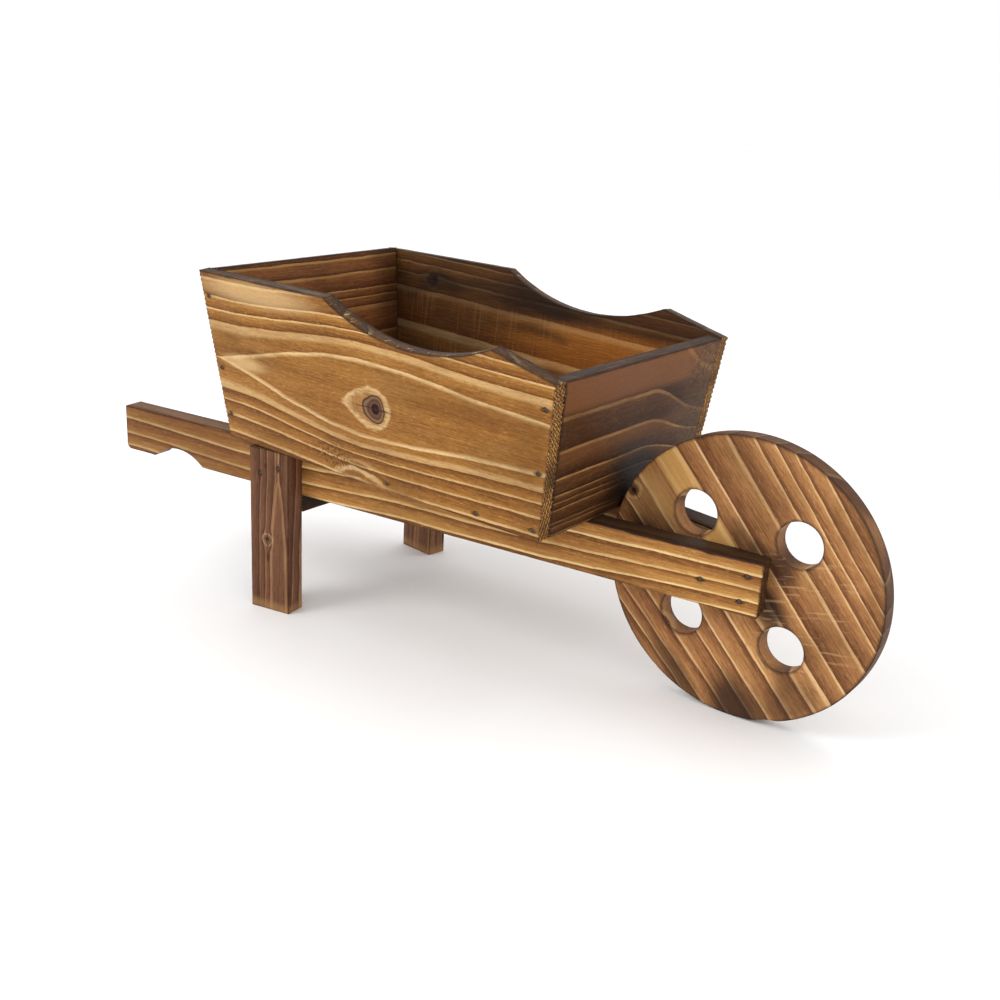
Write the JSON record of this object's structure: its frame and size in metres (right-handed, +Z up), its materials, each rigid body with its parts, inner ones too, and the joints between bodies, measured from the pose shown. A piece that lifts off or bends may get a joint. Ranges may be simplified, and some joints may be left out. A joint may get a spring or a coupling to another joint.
{
  "type": "garden cart planter",
  "caption": "Wooden wheelbarrow-shaped planter: flared box with scalloped sides on two shafts that close in on a solid holed wheel, with square legs behind.",
  "frame": {"origin": "middle of the footprint box on the floor, under the cart", "axes": "+X forward, from the handles to the wheel; +Y to the left of a person pushing; +Z up from the floor that the feet and the wheel stand on"},
  "size_m": [0.6444, 0.2248, 0.2769],
  "materials": {
    "box_wood": "scorched and brushed softwood, golden brown with bright grain lines, satin",
    "frame_wood": "scorched and brushed softwood bar, satin",
    "wheel_wood": "scorched softwood board with slanting grain, satin, charred rim",
    "hidden_wood": "plain sawn softwood, dull",
    "nail_steel": "dull, darkened by scorching"
  },
  "bodies": {
    "cart": {"side_panel_left": "box_wood", "side_panel_right": "box_wood", "end_panel_rear": "box_wood", "end_panel_front": "box_wood", "floor_board_left": "box_wood", "floor_board_right": "box_wood", "shaft_left": "frame_wood", "shaft_right": "frame_wood", "leg_left": "frame_wood", "leg_right": "frame_wood", "leg_crossbar": "frame_wood", "axle": "hidden_wood", "hub_wedge_left": "hidden_wood", "hub_wedge_right": "hidden_wood", "rear_nail_1_left": "nail_steel", "rear_nail_1_right": "nail_steel", "rear_nail_2_left": "nail_steel", "rear_nail_2_right": "nail_steel", "rear_nail_3_left": "nail_steel", "rear_nail_3_right": "nail_steel", "front_nail_1_left": "nail_steel", "front_nail_1_right": "nail_steel", "front_nail_2_left": "nail_steel", "front_nail_2_right": "nail_steel", "front_nail_3_left": "nail_steel", "front_nail_3_right": "nail_steel", "bottom_nail_1_left": "nail_steel", "bottom_nail_1_right": "nail_steel", "bottom_nail_2_left": "nail_steel", "bottom_nail_2_right": "nail_steel", "leg_nail_1_left": "nail_steel", "leg_nail_1_right": "nail_steel", "leg_nail_2_left": "nail_steel", "leg_nail_2_right": "nail_steel", "hub_nail_1_left": "nail_steel", "hub_nail_1_right": "nail_steel", "hub_nail_2_left": "nail_steel", "hub_nail_2_right": "nail_steel", "hub_nail_3_left": "nail_steel", "hub_nail_3_right": "nail_steel", "floor_nail_1_left": "nail_steel", "floor_nail_1_right": "nail_steel", "floor_nail_2_left": "nail_steel", "floor_nail_2_right": "nail_steel", "floor_nail_3_left": "nail_steel", "floor_nail_3_right": "nail_steel", "crossbar_nail_1_left": "nail_steel", "crossbar_nail_1_right": "nail_steel", "crossbar_nail_2_left": "nail_steel", "crossbar_nail_2_right": "nail_steel"},
    "wheel": {"wheel": "wheel_wood"}
  },
  "joints": [
    {"name": "wheel_spin", "type": "hinge", "parent": "cart", "child": "wheel", "pos_m": [0.22219, 0, 0.1], "axis": [0, 1, 0], "continuous": true}
  ]
}
